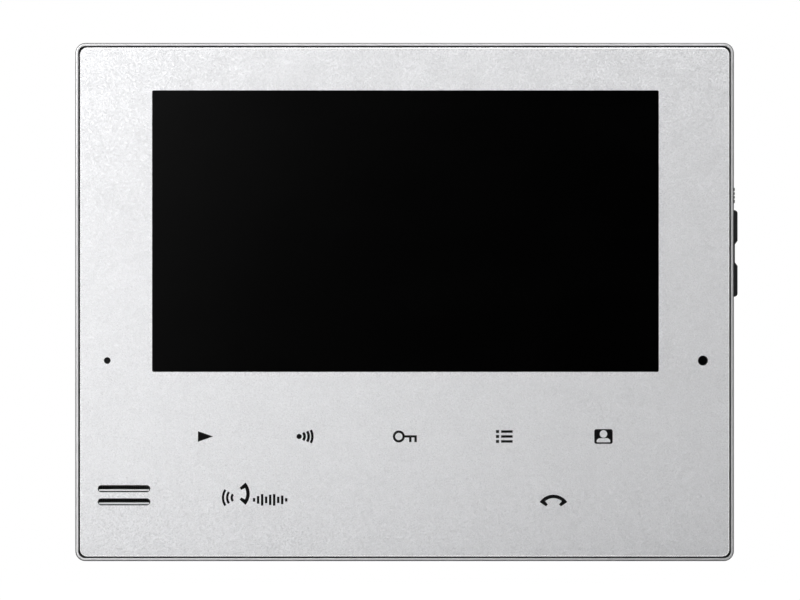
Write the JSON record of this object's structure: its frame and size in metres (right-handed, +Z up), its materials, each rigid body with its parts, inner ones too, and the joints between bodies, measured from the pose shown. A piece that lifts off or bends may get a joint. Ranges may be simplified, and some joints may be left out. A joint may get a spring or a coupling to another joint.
{
  "type": "video intercom monitor",
  "caption": "Slim wall-mounted indoor video intercom monitor with a wide dark screen, touch keys, side volume rocker and a hook-on wall plate.",
  "frame": {"origin": "centre of the wall plane, which is the back face of the steel wall plate", "axes": "+Z up, +X to the right as seen from the front, the front faces -Y"},
  "size_m": [0.1985, 0.018, 0.155],
  "materials": {
    "silver_panel": "fine metallic silver paint",
    "silver_case": "metallic silver paint, satin",
    "black_glass": "smoked acrylic window, polished",
    "rear_plastic": "fine spark-eroded texture",
    "key_plastic": "black, semi-gloss",
    "plated_steel": "zinc plated sheet",
    "screw_steel": "nickel plated",
    "board": "green solder mask",
    "chip": "moulded package",
    "ferrite": "sintered",
    "capacitor": "bright can",
    "socket": "natural nylon",
    "copper": "copper foil",
    "brass": "plated brass",
    "terminal": "glass filled",
    "flex": "polyimide film",
    "wire": "insulated leads",
    "foam": "closed cell foam",
    "adhesive": "adhesive film",
    "cloth": "woven acoustic cloth",
    "paper": "pressed paper cone",
    "rubber": "soft",
    "cell": "display cell, switched off",
    "light_guide": "backlight",
    "lens": "frosted light pipe"
  },
  "bodies": {
    "wall_bracket": {"wall_bracket": "plated_steel"},
    "housing": {"rear_case": "rear_plastic", "case_screws": "screw_steel", "front_case": "silver_case", "panel_tape": "adhesive", "front_panel": "silver_panel", "display_window": "black_glass", "indicator_lens": "lens", "display_gasket": "foam", "display_frame": "plated_steel", "display_glass": "cell", "display_backlight": "light_guide", "display_cable": "flex", "display_chassis": "plated_steel", "chassis_screws": "screw_steel", "touch_board": "board", "touch_electrodes": "copper", "touch_parts": "chip", "touch_cable": "flex", "speaker_cloth": "cloth", "speaker_gasket": "foam", "speaker_frame": "plated_steel", "speaker_magnet": "ferrite", "speaker_surround": "rubber", "microphone": "capacitor", "microphone_boot": "rubber", "main_board": "board", "shield_can": "plated_steel", "board_chips": "chip", "small_parts": "chip", "power_coils": "ferrite", "cable_sockets": "socket", "board_capacitors": "capacitor", "board_screws": "screw_steel", "indicator_board": "board", "indicator_lamp": "light_guide", "speaker_leads": "wire", "microphone_leads": "wire", "indicator_leads": "wire", "terminal_block": "terminal", "terminal_clamps": "brass", "terminal_screws": "screw_steel", "side_key_board": "board", "side_key_cable": "flex", "volume_switches": "chip", "rocker_pin": "screw_steel", "power_switch": "chip"},
    "volume_rocker": {"volume_rocker": "key_plastic"},
    "upper_plunger": {"upper_plunger": "key_plastic"},
    "lower_plunger": {"lower_plunger": "key_plastic"},
    "power_knob": {"power_knob": "key_plastic"},
    "speaker_cone": {"speaker_cone": "paper"}
  },
  "joints": [
    {"name": "hang_slide", "type": "slide", "parent": "wall_bracket", "child": "housing", "axis": [0, 0, 1], "range_m": [0, 0.0045]},
    {"name": "volume_tilt", "type": "hinge", "parent": "housing", "child": "volume_rocker", "pos_m": [0.0949, -0.0106, 0.0146], "axis": [0, -1, 0], "range_deg": [-2, 2]},
    {"name": "upper_press", "type": "slide", "parent": "housing", "child": "upper_plunger", "axis": [1, 0, 0], "range_m": [-0.0003, 0.0003]},
    {"name": "lower_press", "type": "slide", "parent": "housing", "child": "lower_plunger", "axis": [1, 0, 0], "range_m": [-0.0003, 0.0003]},
    {"name": "power_slide", "type": "slide", "parent": "housing", "child": "power_knob", "axis": [0, 0, 1], "range_m": [0, 0.0015]},
    {"name": "cone_stroke", "type": "slide", "parent": "housing", "child": "speaker_cone", "axis": [0, -1, 0], "range_m": [-0.0003, 0.0003], "deforming": ["speaker_surround"]}
  ],
  "couplings": [
    {"joint": "upper_press", "follows": "volume_tilt", "m_per_rad": -0.0085},
    {"joint": "lower_press", "follows": "volume_tilt", "m_per_rad": 0.0085}
  ]
}
